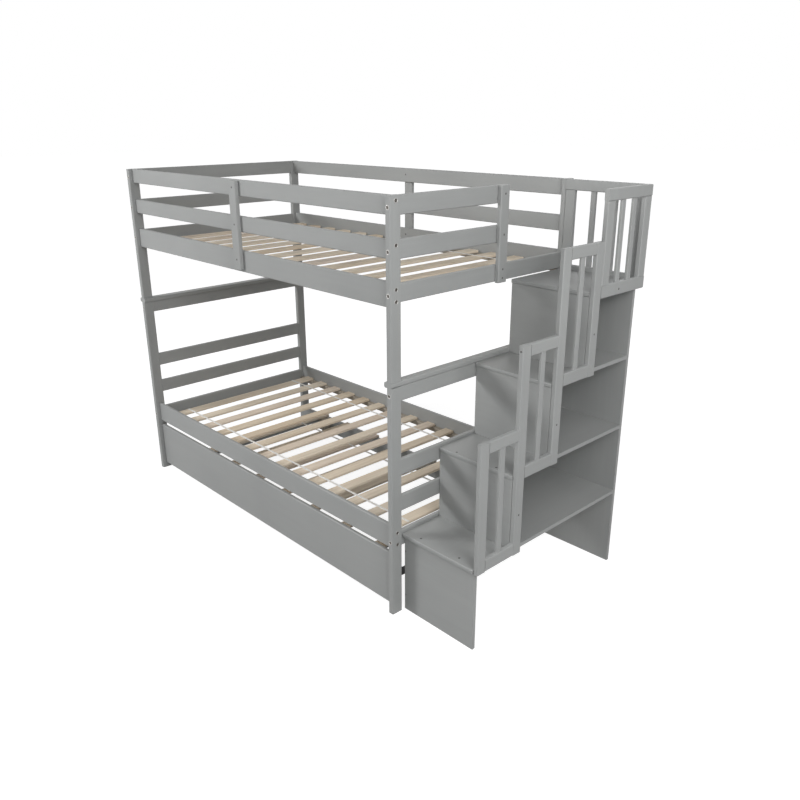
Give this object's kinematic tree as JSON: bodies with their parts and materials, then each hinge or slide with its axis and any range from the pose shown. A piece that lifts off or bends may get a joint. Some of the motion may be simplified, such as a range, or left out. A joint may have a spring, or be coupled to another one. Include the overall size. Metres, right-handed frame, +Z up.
{
  "type": "bunk bed with storage staircase and trundle",
  "caption": "Single-over-single bunk bed with a shelved storage staircase at one end and a trundle bed that rolls out at the front.",
  "frame": {"origin": "on the floor, under the middle of the box round the whole piece", "axes": "+X along the bed towards the staircase, +Y from the front, where the trundle rolls out, to the back, +Z up"},
  "size_m": [2.388, 1.06, 1.665],
  "materials": {
    "grey_paint": "satin paint",
    "bare_pine": "planed and unfinished",
    "webbing": "woven",
    "zinc_steel": "zinc plated",
    "black_steel": "black",
    "wheel_plastic": "moulded"
  },
  "bodies": {
    "bed": {"post_lower_front_left": "grey_paint", "post_upper_front_left": "grey_paint", "post_lower_back_left": "grey_paint", "post_upper_back_left": "grey_paint", "post_lower_front_right": "grey_paint", "post_upper_front_right": "grey_paint", "post_lower_back_right": "grey_paint", "post_upper_back_right": "grey_paint", "cap_planks": "grey_paint", "upper_front_guard_rails": "grey_paint", "upper_front_side_rail": "grey_paint", "upper_front_stile": "grey_paint", "lower_front_side_rail": "grey_paint", "upper_back_guard_rails": "grey_paint", "upper_back_side_rail": "grey_paint", "upper_back_stile": "grey_paint", "lower_back_side_rail": "grey_paint", "upper_left_end_rails": "grey_paint", "upper_right_end_rails": "grey_paint", "lower_left_end_rails": "grey_paint", "lower_right_end_rails": "grey_paint", "entry_stile": "grey_paint", "frame_bolts": "zinc_steel", "post_pins": "zinc_steel", "slat_ledgers": "bare_pine", "lower_slats": "bare_pine", "upper_slats": "bare_pine", "slat_ribbons": "webbing", "stair_front_panel": "grey_paint", "stair_riser_2": "grey_paint", "stair_riser_3": "grey_paint", "stair_riser_4": "grey_paint", "stair_tread_1": "grey_paint", "stair_tread_2": "grey_paint", "stair_tread_3": "grey_paint", "stair_platform": "grey_paint", "stair_back_panel": "grey_paint", "stair_side_panels": "grey_paint", "stair_tie_bolts": "zinc_steel", "stair_tie_spacers": "zinc_steel", "stair_bracket": "black_steel", "stair_guard_stiles": "grey_paint", "stair_guard_rails": "grey_paint", "stair_guard_slats": "grey_paint", "platform_side_guard": "grey_paint", "platform_back_guard": "grey_paint"},
    "trundle": {"trundle_front_panel": "grey_paint", "trundle_back_board": "grey_paint", "trundle_end_boards": "grey_paint", "trundle_ledger": "bare_pine", "trundle_corner_blocks": "bare_pine", "trundle_slats": "bare_pine", "trundle_ribbons": "webbing", "caster_forks": "zinc_steel", "caster_axles": "zinc_steel"},
    "wheel_front_left": {"caster_wheel_front_left": "wheel_plastic"},
    "wheel_front_right": {"caster_wheel_front_right": "wheel_plastic"},
    "wheel_back_left": {"caster_wheel_back_left": "wheel_plastic"},
    "wheel_back_right": {"caster_wheel_back_right": "wheel_plastic"}
  },
  "joints": [
    {"name": "trundle_slide", "type": "slide", "parent": "bed", "child": "trundle", "axis": [0, -1, 0], "range_m": [0, 0.95]},
    {"name": "wheel_front_left_spin", "type": "hinge", "parent": "trundle", "child": "wheel_front_left", "pos_m": [-0.8655, -0.445, 0.025], "axis": [1, 0, 0], "continuous": true},
    {"name": "wheel_front_right_spin", "type": "hinge", "parent": "trundle", "child": "wheel_front_right", "pos_m": [0.4885, -0.445, 0.025], "axis": [1, 0, 0], "continuous": true},
    {"name": "wheel_back_left_spin", "type": "hinge", "parent": "trundle", "child": "wheel_back_left", "pos_m": [-0.8655, 0.43, 0.025], "axis": [1, 0, 0], "continuous": true},
    {"name": "wheel_back_right_spin", "type": "hinge", "parent": "trundle", "child": "wheel_back_right", "pos_m": [0.4885, 0.43, 0.025], "axis": [1, 0, 0], "continuous": true}
  ],
  "couplings": [
    {"joint": "wheel_front_left_spin", "follows": "trundle_slide", "rad_per_m": 40},
    {"joint": "wheel_front_right_spin", "follows": "trundle_slide", "rad_per_m": 40},
    {"joint": "wheel_back_left_spin", "follows": "trundle_slide", "rad_per_m": 40},
    {"joint": "wheel_back_right_spin", "follows": "trundle_slide", "rad_per_m": 40}
  ]
}
